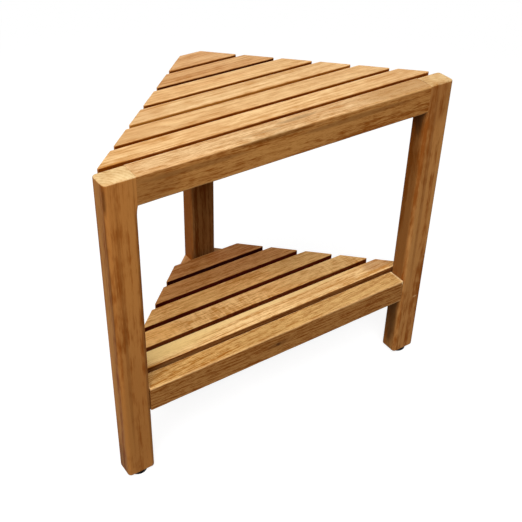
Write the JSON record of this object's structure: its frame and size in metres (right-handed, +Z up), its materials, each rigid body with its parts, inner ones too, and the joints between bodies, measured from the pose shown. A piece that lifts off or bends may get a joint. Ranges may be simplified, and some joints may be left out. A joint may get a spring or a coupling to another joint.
{
  "type": "corner stool",
  "caption": "Solid wood corner stool with a slatted triangular seat, a slatted storage shelf below and screw-in levelling feet.",
  "frame": {"origin": "on the floor under the middle of the bounding box", "axes": "+X along the front to the viewer's right, +Y from the front towards the corner, +Z up"},
  "size_m": [0.5, 0.247, 0.459],
  "materials": {
    "leg_wood": "satin oiled",
    "rail_wood": "satin oiled",
    "slat_wood": "satin oiled",
    "dowel_wood": "raw",
    "screw_steel": "bright stainless",
    "insert_brass": "plain",
    "stud_steel": "bright stainless",
    "pad_rubber": "matt black"
  },
  "bodies": {
    "stool": {"front_left_leg": "leg_wood", "front_right_leg": "leg_wood", "back_leg": "leg_wood", "seat_front_rail": "rail_wood", "seat_left_rail": "rail_wood", "seat_right_rail": "rail_wood", "shelf_front_rail": "rail_wood", "shelf_left_rail": "rail_wood", "shelf_right_rail": "rail_wood", "seat_slat_1": "slat_wood", "seat_slat_2": "slat_wood", "seat_slat_3": "slat_wood", "seat_slat_4": "slat_wood", "seat_slat_5": "slat_wood", "seat_slat_6": "slat_wood", "shelf_slat_1": "slat_wood", "shelf_slat_2": "slat_wood", "shelf_slat_3": "slat_wood", "shelf_slat_4": "slat_wood", "shelf_slat_5": "slat_wood", "seat_rail_dowels": "dowel_wood", "shelf_rail_dowels": "dowel_wood", "seat_slat_screws": "screw_steel", "shelf_slat_screws": "screw_steel", "foot_inserts": "insert_brass"},
    "front_left_foot": {"front_left_foot_stud": "stud_steel", "front_left_foot_pad": "pad_rubber"},
    "front_right_foot": {"front_right_foot_stud": "stud_steel", "front_right_foot_pad": "pad_rubber"},
    "back_foot": {"back_foot_stud": "stud_steel", "back_foot_pad": "pad_rubber"}
  },
  "joints": [
    {"name": "front_left_foot_screw", "type": "slide", "parent": "stool", "child": "front_left_foot", "axis": [0, 0, -1], "range_m": [0, 0.01]},
    {"name": "front_right_foot_screw", "type": "slide", "parent": "stool", "child": "front_right_foot", "axis": [0, 0, -1], "range_m": [0, 0.01]},
    {"name": "back_foot_screw", "type": "slide", "parent": "stool", "child": "back_foot", "axis": [0, 0, -1], "range_m": [0, 0.01]}
  ]
}
